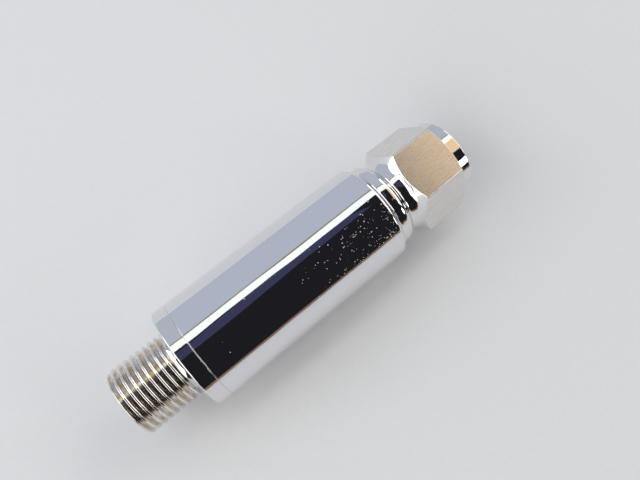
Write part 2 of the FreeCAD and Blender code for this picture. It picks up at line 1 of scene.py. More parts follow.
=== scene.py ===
# %% [markdown]
# # A plated in-line check valve
# This lesson dresses a small brass valve for its portrait. The valve is a round barrel with a pipe thread at
# one end and a swivel nut at the other. The solid model is loaded first and is never moved. The three pieces
# that show most, the barrel, the threaded port and the nut, are then made again as very fine surfaces,
# because a mirror finish shows every facet. All lengths are in metres. MM turns millimetres into them, and
# IN_MM turns them back.

import bpy
import numpy as np
from mathutils import Matrix, Vector


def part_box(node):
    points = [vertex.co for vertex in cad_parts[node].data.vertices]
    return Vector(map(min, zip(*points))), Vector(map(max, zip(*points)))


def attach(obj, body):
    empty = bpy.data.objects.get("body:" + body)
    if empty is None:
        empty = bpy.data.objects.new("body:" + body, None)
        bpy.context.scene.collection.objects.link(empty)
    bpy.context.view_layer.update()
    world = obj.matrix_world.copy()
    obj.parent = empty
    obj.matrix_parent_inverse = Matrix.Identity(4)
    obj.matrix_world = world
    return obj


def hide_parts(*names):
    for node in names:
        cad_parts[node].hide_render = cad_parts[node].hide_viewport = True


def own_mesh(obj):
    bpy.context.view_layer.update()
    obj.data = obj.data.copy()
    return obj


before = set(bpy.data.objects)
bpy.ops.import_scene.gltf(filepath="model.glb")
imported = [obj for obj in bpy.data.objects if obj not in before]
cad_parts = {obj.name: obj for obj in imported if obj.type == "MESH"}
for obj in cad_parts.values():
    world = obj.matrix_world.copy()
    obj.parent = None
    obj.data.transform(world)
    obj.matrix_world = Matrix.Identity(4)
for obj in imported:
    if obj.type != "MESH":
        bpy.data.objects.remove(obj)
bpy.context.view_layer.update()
MM = 0.001
IN_MM = 1 / MM
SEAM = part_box("barrel")[0].x
BARREL_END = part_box("barrel")[1].x
BARREL_RADIUS = (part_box("barrel")[1].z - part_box("barrel")[0].z) / 2
AXIS_HEIGHT = (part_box("barrel")[1].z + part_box("barrel")[0].z) / 2
PORT_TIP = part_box("outlet_port")[0].x
PORT_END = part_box("outlet_port")[1].x
NUT_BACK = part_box("swivel_nut")[0].x
NUT_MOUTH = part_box("swivel_nut")[1].x
print("seam", SEAM, "nut from", NUT_BACK, "to", NUT_MOUTH, "axis height", AXIS_HEIGHT)

# %% [markdown]
# ## Surfaces turned about the valve's axis
# Every piece here comes off a lathe, so each can be written as an outline of (place along the axis, radius)
# that is carried round. The outline may change with the angle, which is how the hexagon and the screw thread
# are made by the same function. A bored piece has an outline that comes back to its start, so the surface
# closes on itself like a ring and has no poles.

# %% One function for every turned piece
def carried_round(name, outline, angles, masks=None):
    """A closed surface. Point (a, k) lies at x = outline[a, k, 0], at a distance outline[a, k, 1] from the
    axis, in the direction angles[a], which is measured from straight up towards +Y."""
    count, steps = outline.shape[:2]
    reach = outline[:, :, 1]
    points = np.stack(
        [
            outline[:, :, 0],
            reach * np.sin(angles)[:, None],
            AXIS_HEIGHT + reach * np.cos(angles)[:, None],
        ],
        axis=2,
    ).reshape(-1, 3)
    a, k = np.meshgrid(np.arange(count), np.arange(steps), indexing="ij")
    a_next, k_next = (a + 1) % count, (k + 1) % steps
    quads = np.stack(
        [a * steps + k, a * steps + k_next, a_next * steps + k_next, a_next * steps + k], axis=2
    ).reshape(-1, 4)
    corners = points[quads]
    volume = np.einsum(
        "ij,ij->", corners[:, 0], np.cross(corners[:, 1] - corners[:, 3], corners[:, 2] - corners[:, 0])
    )
    if volume > 0:
        quads = quads[:, ::-1]
    mesh = bpy.data.meshes.new(name)
    mesh.from_pydata(points.tolist(), [], quads.tolist())
    mesh.polygons.foreach_set("use_smooth", np.ones(len(quads), bool))
    for title, values in (masks or {}).items():
        layer = mesh.attributes.new(title, "FLOAT", "POINT")
        layer.data.foreach_set("value", values.astype(np.float32).ravel())
    mesh.update()
    piece = bpy.data.objects.new(name, mesh)
    bpy.context.scene.collection.objects.link(piece)
    print(name, len(points), "points,", 2 * len(quads), "triangles")
    return piece


# %% [markdown]
# ## Corners that catch the light
# No machined edge is perfectly sharp, and the tiny rounding is what draws a bright line along it. Each corner
# of an outline is swapped for a short parabola that leaves one side and meets the other without a kink. One
# more point on each side, a hair away, keeps the flat faces next to it flat when they are shaded smoothly.

# %% Round the corners of an outline
GUARD = 0.03 * MM
MOST_OF_SIDE = 0.4
MOST_WITH_GUARD = 0.45


def softened(corners, rounding, steps=5):
    """Corners is (angles, n, 2). Each inner corner Q between P and R becomes points
    (1-u)^2 T1 + 2u(1-u) Q + u^2 T2 for u from 0 to 1, where T1 and T2 lie a rounding away from Q on its two
    sides, and never more than MOST_OF_SIDE of a side away. A guard point follows T1 and T2 outwards."""
    rows = [corners[:, :1]]
    u = np.linspace(0, 1, steps)[None, :, None]
    for n in range(1, corners.shape[1] - 1):
        before, here, after = corners[:, n - 1], corners[:, n], corners[:, n + 1]
        ends = []
        for other in (before, after):
            side = other - here
            length = np.linalg.norm(side, axis=1, keepdims=True)
            reach = np.minimum(rounding[n], MOST_OF_SIDE * length)
            guard = np.minimum(reach + GUARD, MOST_WITH_GUARD * length)
            ends.append((here + side / length * reach, here + side / length * guard))
        (t1, g1), (t2, g2) = ends
        arc = (1 - u) ** 2 * t1[:, None] + 2 * u * (1 - u) * here[:, None] + u**2 * t2[:, None]
        rows += [g1[:, None], arc, g2[:, None]]
    rows.append(corners[:, -1:])
    return np.concatenate(rows, axis=1)


def outline_of(places, count):
    """Turn a list of (x in metres, radius in mm, rounding in mm) into corner and rounding arrays. Either of
    the first two may be an array with one value for each angle."""
    corners = np.zeros((count, len(places), 2))
    for n, (x, radius, _) in enumerate(places):
        corners[:, n, 0] = x
        corners[:, n, 1] = np.asarray(radius) * MM
    return corners, [rounding * MM for _, _, rounding in places]


# %% [markdown]
# ## The barrel
# On the real valve this is a bar of brass, turned, bored from one end and plated to a mirror. Its far edge is
# rounded, and the near edge has only a hair of a bevel, which makes the fine seam against the port's collar.

# %% Barrel surface
BARREL_COLUMNS = 288
BORE, BORE_START = 6.0, 13.0 * MM
SEAM_BEVEL = 0.06
END_ROUND, END_KNEE = 0.35, 0.1
POCKET_RADIUS, POCKET_DEPTH = 5.22, 1.2 * MM
STEM_HOLE, END_WALL = 4.02, 4.0 * MM
barrel_angles = np.arange(BARREL_COLUMNS) * 2 * np.pi / BARREL_COLUMNS
barrel_radius_mm = BARREL_RADIUS / MM
end_wall = BARREL_END - END_WALL
flange_pocket = BARREL_END - POCKET_DEPTH
barrel_places = [
    (SEAM + BORE_START, BORE, 0),
    (SEAM, BORE, 0.03),
    (SEAM, barrel_radius_mm - SEAM_BEVEL, 0.02),
    (SEAM + SEAM_BEVEL * MM, barrel_radius_mm, 0.02),
    (BARREL_END - END_ROUND * MM, barrel_radius_mm, 0.1),
    (BARREL_END - END_KNEE * MM, barrel_radius_mm - END_KNEE, 0.1),
    (BARREL_END, barrel_radius_mm - END_ROUND, 0.1),
    (BARREL_END, POCKET_RADIUS, 0.04),
    (flange_pocket, POCKET_RADIUS, 0.04),
    (flange_pocket, STEM_HOLE, 0.04),
    (end_wall, STEM_HOLE, 0.04),
    (end_wall, BORE, 0.04),
    (SEAM + BORE_START + 0.1 * MM, BORE, 0),
]
barrel_corners, barrel_rounding = outline_of(barrel_places, BARREL_COLUMNS)
barrel = carried_round("barrel_shell", softened(barrel_corners, barrel_rounding), barrel_angles)
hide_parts("barrel")
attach(barrel, "casing")

# %% [markdown]
# ## The screw thread
# A pipe thread is a groove that climbs by one pitch in each turn. At one angle it looks like a row of teeth,
# and the row slides along by pitch times the share of a turn. So the depth at any point follows from one
# number, the phase: the place in pitches plus the angle in turns, of which only the fraction counts. Crest
# and root are rounded, as a pipe thread is, by easing the depth from one to the other.

# %% Depth of the thread at any point
PITCH = 0.907 * MM
DEPTH = 0.581
CREST = 4.864
ROOT = CREST - DEPTH
GROOVE_EDGE = 0.43
GROOVE_FLOOR = 0.03


def thread_depth(x, angles, start):
    """How deep the groove is, from 0 at the crest to 1 at the root. The distance d from the groove's middle
    is |phase - 1/2| pitches, and the depth eases as 3t^2 - 2t^3 where t falls from 1 to 0 as d grows from
    GROOVE_FLOOR to GROOVE_EDGE."""
    phase = np.mod((x - start) / PITCH + angles[:, None] / (2 * np.pi), 1.0)
    distance = np.abs(phase - 0.5)
    t = np.clip((GROOVE_EDGE - distance) / (GROOVE_EDGE - GROOVE_FLOOR), 0, 1)
    return t * t * (3 - 2 * t)


# %% [markdown]
# ## The outlet port
# One turned piece: the thread, a plain neck, and the collar that lines up with the barrel. Its spigot goes on
# inside the barrel. The tip is rounded off over the first third of a millimetre, so that it starts easily.

# %% Outlet port surface
PORT_COLUMNS = 240
THREAD_STEP = 0.036 * MM
LEAD_LENGTH, LEAD_DROP, LEAD_CURVE = 0.3 * MM, 0.27, 1.6
NECK_LENGTH, NECK_RADIUS = 0.9 * MM, ROOT - 0.08
COLLAR_LENGTH, COLLAR_BEVEL = 2.1 * MM, 0.15
SPIGOT = 5.98
SEAL_FROM, SEAL_TO, SEAL_FLOOR = SEAM + 0.9 * MM, SEAM + 2.2 * MM, 5.18
CUP_RADIUS, CUP_FLOOR, CUP_CONE = 5.2, PORT_END - 1.6 * MM, PORT_END - 2.6 * MM
PORT_BORE, PORT_BEVEL = 2.5, 0.5
port_angles = np.arange(PORT_COLUMNS) * 2 * np.pi / PORT_COLUMNS
collar_face = SEAM - COLLAR_LENGTH
thread_end = collar_face - NECK_LENGTH
thread_rows = np.arange(PORT_TIP, thread_end + 1e-9, THREAD_STEP)
port_depth = thread_depth(thread_rows[None, :], port_angles, PORT_TIP)
lead = np.clip((thread_rows - PORT_TIP) / LEAD_LENGTH, 0, 1)
lead_radius = CREST - LEAD_DROP * (1 - lead) ** LEAD_CURVE
port_thread_radius = np.minimum(CREST - DEPTH * port_depth, lead_radius[None, :])
port_places = [
    (thread_end, NECK_RADIUS, 0),
    (collar_face, NECK_RADIUS, 0.08),
    (collar_face, barrel_radius_mm - COLLAR_BEVEL, 0.05),
    (collar_face + COLLAR_BEVEL * MM, barrel_radius_mm, 0.05),
    (SEAM - SEAM_BEVEL * MM, barrel_radius_mm, 0.02),
    (SEAM, barrel_radius_mm - SEAM_BEVEL, 0.02),
    (SEAM, SPIGOT, 0.03),
    (SEAL_FROM, SPIGOT, 0.03),
    (SEAL_FROM, SEAL_FLOOR, 0.05),
    (SEAL_TO, SEAL_FLOOR, 0.05),
    (SEAL_TO, SPIGOT, 0.03),
    (PORT_END, SPIGOT, 0.05),
    (PORT_END, CUP_RADIUS, 0.05),
    (CUP_FLOOR, CUP_RADIUS, 0.05),
    (CUP_CONE, PORT_BORE, 0.1),
    (PORT_TIP + PORT_BEVEL * MM, PORT_BORE, 0.15),
    (PORT_TIP, PORT_BORE + PORT_BEVEL, 0.1),
    (PORT_TIP, port_thread_radius[:, 0] - 0.02, 0),
]
port_corners, port_rounding = outline_of(port_places, PORT_COLUMNS)
port_body = softened(port_corners, port_rounding)
port_thread = np.stack(
    [np.broadcast_to(thread_rows, port_thread_radius.shape), port_thread_radius * MM], axis=2
)
port_outline = np.concatenate([port_thread, port_body], axis=1)
port_groove = np.concatenate([port_depth, np.zeros(port_body.shape[:2])], axis=1)
port = carried_round("threaded_port", port_outline, port_angles, {"groove": port_groove})
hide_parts("outlet_port")
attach(port, "casing")

# %% [markdown]
# ## The swivel nut
# The nut starts as hexagon bar. The lathe turns the flange, the waist and the mouth ring, and its sloping
# cuts at both ends of the hexagon leave the arcs on the flats. At a given angle the hexagon's radius is half
# the width over the flats divided by the cosine of the angle from the middle of the nearest flat. Both
# sloping cuts are cones, so the place where they meet the flat at that angle follows at once, and the
# grid's lines run exactly along the arcs.

# %% Angles that land on the hexagon's corners
NUT_TURN = np.radians(20.6)
HALF_FLATS = 6.5
CORNER_CUT = 0.076
FLAT_COLUMNS = 23
SIXTH = np.pi / 3
CORNER = HALF_FLATS / np.cos(SIXTH / 2) - CORNER_CUT
land = SIXTH / 2 - np.arccos(HALF_FLATS / CORNER)
edge = np.radians(0.25)
sector = np.concatenate(
    [
        [0, land, land + edge],
        np.linspace(land + 3 * edge, SIXTH - land - 3 * edge, FLAT_COLUMNS),
        [SIXTH - land - edge, SIXTH - land],
    ]
)
nut_angles = (NUT_TURN + (np.arange(6) * SIXTH)[:, None] + sector[None, :]).ravel()
from_corner = np.mod(nut_angles - NUT_TURN, SIXTH)
hexagon = np.minimum(HALF_FLATS / np.cos(from_corner - SIXTH / 2), CORNER)
NUT_COLUMNS = len(nut_angles)
print("nut columns", NUT_COLUMNS, "radius from", hexagon.min(), "to", hexagon.max())

# %% Nut surface
BACK_SLOPE = np.tan(np.radians(38))
FRONT_SLOPE = np.tan(np.radians(25))
FLANGE_RADIUS, FLANGE_WIDTH = 6.55, 1.75 * MM
WAIST_RADIUS, WAIST_FROM, WAIST_TO = 5.7, 2.5 * MM, 3.1 * MM
HEXAGON_BACK, HEXAGON_NECK = 5.05, 5.95
RING_START, RING_FACE, RING_BEVEL = 12.25, 6.35, 0.25
RING_RADIUS = CREST + 1.1
MOUTH_BEVEL = 0.5
JOURNAL_BORE = 3.75
CLIP_POCKET, CLIP_FROM, CLIP_TO = 4.05, 2.35 * MM, 3.65 * MM
CHAMBER_RADIUS, CHAMBER_FROM, CHAMBER_END = CREST + 0.1, 4.65 * MM, 6.3 * MM
neck_place = HEXAGON_BACK - (CORNER - HEXAGON_NECK) * BACK_SLOPE
hexagon_back = neck_place + (hexagon - HEXAGON_NECK) * BACK_SLOPE
hexagon_front = RING_START - (hexagon - RING_FACE) * FRONT_SLOPE
nut_outside = [
    (NUT_BACK, JOURNAL_BORE, 0),
    (NUT_BACK, FLANGE_RADIUS, 0.65),
    (NUT_BACK + FLANGE_WIDTH, FLANGE_RADIUS, 0.5),
    (NUT_BACK + WAIST_FROM, WAIST_RADIUS, 0.3),
    (NUT_BACK + WAIST_TO, WAIST_RADIUS, 0.25),
    (NUT_BACK + neck_place * MM, HEXAGON_NECK, 0.4),
    (NUT_BACK + hexagon_back * MM, hexagon, 0.05),
    (NUT_BACK + hexagon_front * MM, hexagon, 0.05),
    (NUT_BACK + RING_START * MM, RING_FACE, 0.05),
    (NUT_BACK + RING_START * MM, RING_RADIUS, 0.05),
    (NUT_MOUTH - RING_BEVEL * MM, RING_RADIUS, 0.1),
    (NUT_MOUTH, RING_RADIUS - RING_BEVEL, 0.1),
    (NUT_MOUTH, ROOT + MOUTH_BEVEL, 0.05),
    (NUT_MOUTH - MOUTH_BEVEL * MM, ROOT, 0),
]
nut_inside = [
    (NUT_BACK + CHAMBER_END, CHAMBER_RADIUS, 0),
    (NUT_BACK + CHAMBER_FROM, CHAMBER_RADIUS, 0.05),
    (NUT_BACK + CHAMBER_FROM, JOURNAL_BORE, 0.05),
    (NUT_BACK + CLIP_TO, JOURNAL_BORE, 0.03),
    (NUT_BACK + CLIP_TO, CLIP_POCKET, 0.03),
    (NUT_BACK + CLIP_FROM, CLIP_POCKET, 0.03),
    (NUT_BACK + CLIP_FROM, JOURNAL_BORE, 0.03),
    (NUT_BACK + 0.02 * MM, JOURNAL_BORE, 0),
]
outside_corners, outside_rounding = outline_of(nut_outside, NUT_COLUMNS)
inside_corners, inside_rounding = outline_of(nut_inside, NUT_COLUMNS)
nut_shell = softened(outside_corners, outside_rounding)
nut_bore = softened(inside_corners, inside_rounding)
NUT_THREAD_STEP = 0.05 * MM
nut_thread_start = NUT_MOUTH - 0.52 * MM
nut_rows = np.arange(nut_thread_start, NUT_BACK + CHAMBER_END, -NUT_THREAD_STEP)
nut_depth = thread_depth(nut_rows[None, :], nut_angles, NUT_MOUTH)
nut_thread = np.stack(
    [np.broadcast_to(nut_rows, nut_depth.shape), (ROOT + DEPTH * nut_depth) * MM], axis=2
)
nut_outline = np.concatenate([nut_shell, nut_thread, nut_bore], axis=1)
shell_x = nut_shell[:, :, 0]
FLAT_MARGIN = 0.04 * MM
on_flats = shell_x > (NUT_BACK + hexagon_back * MM)[:, None] + FLAT_MARGIN
on_flats &= shell_x < (NUT_BACK + hexagon_front * MM)[:, None] - FLAT_MARGIN
on_flats &= nut_shell[:, :, 1] > (hexagon[:, None] - 0.01) * MM
off_flats = np.zeros((NUT_COLUMNS, nut_outline.shape[1] - on_flats.shape[1]))
nut_flat_mask = np.concatenate([on_flats, off_flats], axis=1)
nut = carried_round("swivel_nut_body", nut_outline, nut_angles, {"flats": nut_flat_mask})
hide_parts("swivel_nut")
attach(nut, "nut")

# %% [markdown]
# ## The return spring
# The poppet squeezes this spring when the valve opens. It is round wire wound on a helix. A ring of points is
# carried along the helix, standing square to it, and the wire's two ends are closed by flat caps. The last
# line gives the spring its own copy of its mesh.

# %% Spring surface
WIRE = 0.225 * MM
WIRE_ROOM = 1.03
spring_low, spring_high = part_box("return_spring")
coil_radius = (spring_high.z - spring_low.z) / 2 - WIRE
COIL_TURNS, COIL_STEPS, WIRE_SIDES = 5, 320, 14


def wound_wire(name, start, end):
    """Wire on a helix: at angle a the middle is at x = start + (end - start) a / all turns and at
    coil_radius from the axis. Each ring lies in the plane of the outward direction and the one across it
    and the wire's run."""
    angle = np.linspace(0, 2 * np.pi * COIL_TURNS, COIL_STEPS)
    climb = (end - start) / angle[-1]
    outward = np.stack([0 * angle, np.sin(angle), np.cos(angle)], axis=1)
    run = np.stack([climb + 0 * angle, coil_radius * np.cos(angle), -coil_radius * np.sin(angle)], axis=1)
    run /= np.linalg.norm(run, axis=1, keepdims=True)
    across = np.cross(run, outward)
    on_axis = np.stack([start + climb * angle, 0 * angle, AXIS_HEIGHT + 0 * angle], axis=1)
    middle = outward * coil_radius + on_axis
    side = np.linspace(0, 2 * np.pi, WIRE_SIDES, endpoint=False)
    points = middle[:, None] + WIRE * (
        np.cos(side)[None, :, None] * outward[:, None] + np.sin(side)[None, :, None] * across[:, None]
    )
    i, k = np.meshgrid(np.arange(COIL_STEPS - 1), np.arange(WIRE_SIDES), indexing="ij")
    k_next = (k + 1) % WIRE_SIDES
    here, ahead = i * WIRE_SIDES, (i + 1) * WIRE_SIDES
    quads = np.stack([here + k, here + k_next, ahead + k_next, ahead + k], axis=2).reshape(-1, 4)
    first = np.arange(WIRE_SIDES)[::-1]
    last = np.arange(WIRE_SIDES) + (COIL_STEPS - 1) * WIRE_SIDES
    mesh = bpy.data.meshes.new(name)
    mesh.from_pydata(points.reshape(-1, 3).tolist(), [], quads.tolist() + [first.tolist(), last.tolist()])
    smooth = np.ones(len(quads) + 2, bool)
    smooth[-2:] = False
    mesh.polygons.foreach_set("use_smooth", smooth)
    mesh.update()
    piece = bpy.data.objects.new(name, mesh)
    bpy.context.scene.collection.objects.link(piece)
    outwards = mesh.polygons[0].normal @ Vector(points[0, 0] - middle[0]) > 0
    print(name, len(quads), "faces, normal points out:", outwards)
    return piece


spring = wound_wire("coil_spring", spring_low.x + WIRE * WIRE_ROOM, spring_high.x - WIRE * WIRE_ROOM)
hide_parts("return_spring")
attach(spring, "casing")
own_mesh(spring)

# %% [markdown]
# ## A few words for building materials
# A material is a small network of nodes. These helpers add a node with its values in one line and join two
# sockets, so that each material below reads as a list of what goes into what.

# %% Node helpers
def add(tree, kind, values=None, **settings):
    """A node of this kind, with settings on the node itself and values on its inputs."""
    made = tree.nodes.new(kind)
    for title, value in settings.items():
        setattr(made, title, value)
    for title, value in (values or {}).items():
        made.inputs[title].default_value = value
    return made


def join(tree, source, output, target, socket):
    tree.links.new(source.outputs[output], target.inputs[socket])


def new_material(name):
    """An empty material with its shader, its output and object coordinates in millimetres from the axis."""
    material = bpy.data.materials.new(name)
    material.use_nodes = True
    tree = material.node_tree
    tree.nodes.clear()
    shader = add(tree, "ShaderNodeBsdfPrincipled")
    output = add(tree, "ShaderNodeOutputMaterial")
    join(tree, shader, "BSDF", output, "Surface")
    place = add(tree, "ShaderNodeTexCoord")
    in_mm = {"Location": (0, 0, -IN_MM * AXIS_HEIGHT), "Scale": (IN_MM, IN_MM, IN_MM)}
    scale = add(tree, "ShaderNodeMapping", in_mm)
    join(tree, place, "Object", scale, "Vector")
    return material, tree, shader, scale


def new_group(name, inputs, outputs):
    """An empty shader node group. Inputs are (title, kind, default), outputs are (title, kind)."""
    group = bpy.data.node_groups.new(name, "ShaderNodeTree")
    for title, kind, default in inputs:
        socket = group.interface.new_socket(title, in_out="INPUT", socket_type="NodeSocket" + kind)
        if default is not None:
            socket.default_value = default
    for title, kind in outputs:
        group.interface.new_socket(title, in_out="OUTPUT", socket_type="NodeSocket" + kind)
    return group, add(group, "NodeGroupInput"), add(group, "NodeGroupOutput")


def use_group(tree, group, values=None):
    return add(tree, "ShaderNodeGroup", values, node_tree=group)


# %% [markdown]
# ## Marks that plated and turned metal share
# Three effects come back in several finishes, so each is a group that is built once. Fine lines run along the
# axis where bar was drawn or wiped, or round it where a tool turned it. Specks are the small pits and dust
# nibs of thin plating. Swell is the gentle unevenness that bends a reflection without dulling it.

# %% Fine lines
lines_group, lines_in, lines_out = new_group(
    "Fine lines",
    [("Vector", "Vector", None), ("Across", "Vector", (0.4, 30.0, 30.0)), ("Wander", "Float", 2.0)],
    [("Mask", "Float"), ("Height", "Float")],
)
lines_stretch = add(lines_group, "ShaderNodeVectorMath", operation="MULTIPLY")
lines_noise = add(lines_group, "ShaderNodeTexNoise", {"Scale": 1.0, "Detail": 3.0, "Roughness": 0.6})
lines_sharp = add(lines_group, "ShaderNodeMapRange", {"From Min": 0.42, "From Max": 0.72})
join(lines_group, lines_in, "Vector", lines_stretch, 0)
join(lines_group, lines_in, "Across", lines_stretch, 1)
join(lines_group, lines_stretch, "Vector", lines_noise, "Vector")
join(lines_group, lines_in, "Wander", lines_noise, "Distortion")
join(lines_group, lines_noise, "Fac", lines_sharp, "Value")
join(lines_group, lines_sharp, "Result", lines_out, "Mask")
join(lines_group, lines_noise, "Fac", lines_out, "Height")

# %% Specks
specks_group, specks_in, specks_out = new_group(
    "Specks",
    [("Vector", "Vector", None), ("Size", "Float", 3.0), ("Share", "Float", 0.3), ("Chance", "Float", 0.5)],
    [("Mask", "Float")],
)
specks_cells = add(specks_group, "ShaderNodeTexVoronoi", {"Randomness": 1.0})
specks_luck = add(specks_group, "ShaderNodeSeparateColor")
specks_edge = add(specks_group, "ShaderNodeMath", operation="MULTIPLY")
specks_dot = add(specks_group, "ShaderNodeMath", operation="LESS_THAN")
specks_there = add(specks_group, "ShaderNodeMath", operation="LESS_THAN")
specks_mask = add(specks_group, "ShaderNodeMath", operation="MULTIPLY")
join(specks_group, specks_in, "Vector", specks_cells, "Vector")
join(specks_group, specks_in, "Size", specks_cells, "Scale")
join(specks_group, specks_cells, "Color", specks_luck, "Color")
join(specks_group, specks_luck, "Red", specks_edge, 0)
join(specks_group, specks_in, "Share", specks_edge, 1)
join(specks_group, specks_cells, "Distance", specks_dot, 0)
join(specks_group, specks_edge, "Value", specks_dot, 1)
join(specks_group, specks_luck, "Green", specks_there, 0)
join(specks_group, specks_in, "Chance", specks_there, 1)
join(specks_group, specks_dot, "Value", specks_mask, 0)
join(specks_group, specks_there, "Value", specks_mask, 1)
join(specks_group, specks_mask, "Value", specks_out, "Mask")

# %% Swell
swell_group, swell_in, swell_out = new_group(
    "Swell",
    [("Vector", "Vector", None), ("Along", "Vector", (0.12, 0.5, 0.5))],
    [("Height", "Float")],
)
swell_stretch = add(swell_group, "ShaderNodeVectorMath", operation="MULTIPLY")
swell_noise = add(swell_group, "ShaderNodeTexNoise", {"Scale": 1.0, "Detail": 2.0, "Roughness": 0.4})
join(swell_group, swell_in, "Vector", swell_stretch, 0)
join(swell_group, swell_in, "Along", swell_stretch, 1)
join(swell_group, swell_stretch, "Vector", swell_noise, "Vector")
join(swell_group, swell_noise, "Fac", swell_out, "Height")

# %% [markdown]
# ## Barrel plating
# A mirror, so nearly all of its look is what it reflects. The metal is a cool light grey with a roughness of
# a few hundredths. Swell makes the long reflections waver a little, and a scatter of specks sits near the far
# end.

# %% Barrel plating
def level(tree, source, output, low, high, from_low=0.0, from_high=1.0):
    """Map a value from one range to another."""
    made = add(
        tree,
        "ShaderNodeMapRange",
        {"From Min": from_low, "From Max": from_high, "To Min": low, "To Max": high},
    )
    join(tree, source, output, made, "Value")
    return made


def bump(tree, shader, height, output, strength, distance_mm, under=None):
    """A bump node on the shader's normal, or under another bump."""
    made = add(tree, "ShaderNodeBump", {"Strength": strength, "Distance": distance_mm * MM})
    join(tree, height, output, made, "Height")
    if under is not None:
        join(tree, under, "Normal", made, "Normal")
    join(tree, made, "Normal", shader, "Normal")
    return made


MIX_VALUE_A, MIX_VALUE_B = 2, 3
MIX_COLOUR_A, MIX_COLOUR_B = 6, 7
COLOUR_OUT = 2


def mix_colour(tree, mask, output, first, second):
    """A colour between first, where the mask is 0, and second, where it is 1."""
    made = add(tree, "ShaderNodeMix", data_type="RGBA")
    made.inputs[MIX_COLOUR_A].default_value = (*first, 1)
    made.inputs[MIX_COLOUR_B].default_value = (*second, 1)
    join(tree, mask, output, made, 0)
    return made


mirror, tree, shader, place = new_material("barrel_plating")
shader.inputs["Metallic"].default_value = 1.0
swell = use_group(tree, swell_group, {"Along": (0.05, 0.35, 0.35)})
join(tree, place, "Vector", swell, "Vector")
lines = use_group(tree, lines_group, {"Across": (0.15, 14.0, 14.0), "Wander": 0.6})
join(tree, place, "Vector", lines, "Vector")
apart = add(tree, "ShaderNodeSeparateXYZ")
join(tree, place, "Vector", apart, "Vector")
SPECKED_LENGTH = 16
far_end = level(tree, apart, "X", 0.01, 0.9, IN_MM * BARREL_END - SPECKED_LENGTH, IN_MM * BARREL_END)
front_side = level(tree, apart, "Y", 1, 0.05, -5.5, 0.5)
thin_plating = add(tree, "ShaderNodeMath", operation="MULTIPLY")
join(tree, far_end, "Result", thin_plating, 0)
join(tree, front_side, "Result", thin_plating, 1)
specks = use_group(tree, specks_group, {"Size": 4.2, "Share": 0.34})
join(tree, place, "Vector", specks, "Vector")
join(tree, thin_plating, "Value", specks, "Chance")
colour = mix_colour(tree, specks, "Mask", (0.80, 0.80, 0.83), (0.88, 0.86, 0.82))
join(tree, colour, COLOUR_OUT, shader, "Base Color")
clean_rough = level(tree, lines, "Mask", 0.025, 0.06)
rough = add(tree, "ShaderNodeMix", data_type="FLOAT")
rough.inputs[MIX_VALUE_B].default_value = 0.75
join(tree, specks, "Mask", rough, 0)
join(tree, clean_rough, "Result", rough, MIX_VALUE_A)
join(tree, rough, 0, shader, "Roughness")
wave = bump(tree, shader, swell, "Height", 1.0, 0.05)
bump(tree, shader, specks, "Mask", 0.5, 0.01, wave)
barrel.data.materials.append(mirror)

# %% [markdown]
# ## Port plating
# The same plating, with a painted brown-gold reflection laid into the grooves of the thread.
# The groove mask that came with the mesh says how deep each point is.

# %% Port plating
port_finish, tree, shader, place = new_material("port_plating")
shader.inputs["Metallic"].default_value = 1.0
groove = add(tree, "ShaderNodeAttribute", attribute_name="groove")
patchy = add(tree, "ShaderNodeTexNoise", {"Scale": 0.9, "Detail": 5.0})
join(tree, place, "Vector", patchy, "Vector")
# Painted reflection: brown-gold in the grooves, stronger where they are deeper, in patches.
groove_painted_reflection = add(tree, "ShaderNodeMath", operation="MULTIPLY")
join(tree, groove, "Fac", groove_painted_reflection, 0)
painted_reflection_patches = level(tree, patchy, "Fac", 0.2, 0.9, 0.35, 0.65)
join(tree, painted_reflection_patches, "Result", groove_painted_reflection, 1)
# Plating grey, turning brown-gold where the painted reflection lies in the grooves.
colour = mix_colour(tree, groove_painted_reflection, "Value", (0.80, 0.79, 0.79), (0.60, 0.46, 0.27))
join(tree, colour, COLOUR_OUT, shader, "Base Color")
rings = use_group(tree, lines_group, {"Across": (22.0, 0.4, 0.4), "Wander": 0.3})
join(tree, place, "Vector", rings, "Vector")
rough = level(tree, groove_painted_reflection, "Value", 0.05, 0.28)
join(tree, rough, "Result", shader, "Roughness")
swell = use_group(tree, swell_group, {"Along": (0.5, 0.5, 0.5)})
join(tree, place, "Vector", swell, "Vector")
wave = bump(tree, shader, swell, "Height", 0.6, 0.03)
bump(tree, shader, rings, "Height", 0.15, 0.004, wave)
port.data.materials.append(port_finish)

# %% [markdown]
# ## Nut plating
# The turned parts of the nut are as bright as the barrel. The flats are not: they keep the fine lines of the
# drawn bar under the plating, so they look like satin and spread a reflection sideways.
# The tan tint on the flats' lines is a painted warm reflection.

# %% Nut plating
nut_finish, tree, shader, place = new_material("nut_plating")
shader.inputs["Metallic"].default_value = 1.0
flats = add(tree, "ShaderNodeAttribute", attribute_name="flats")
lines = use_group(tree, lines_group, {"Across": (0.5, 22.0, 22.0), "Wander": 0.3})
join(tree, place, "Vector", lines, "Vector")
lined = add(tree, "ShaderNodeMath", operation="MULTIPLY")
join(tree, lines, "Height", lined, 0)
join(tree, flats, "Fac", lined, 1)
flat_lines_painted_reflection = add(tree, "ShaderNodeMath", operation="MULTIPLY")
join(tree, lines, "Mask", flat_lines_painted_reflection, 0)
join(tree, flats, "Fac", flat_lines_painted_reflection, 1)
flat_rough = level(tree, lines, "Mask", 0.24, 0.36)
rough = add(tree, "ShaderNodeMix", data_type="FLOAT")
rough.inputs[MIX_VALUE_A].default_value = 0.05
join(tree, flats, "Fac", rough, 0)
join(tree, flat_rough, "Result", rough, MIX_VALUE_B)
join(tree, rough, 0, shader, "Roughness")
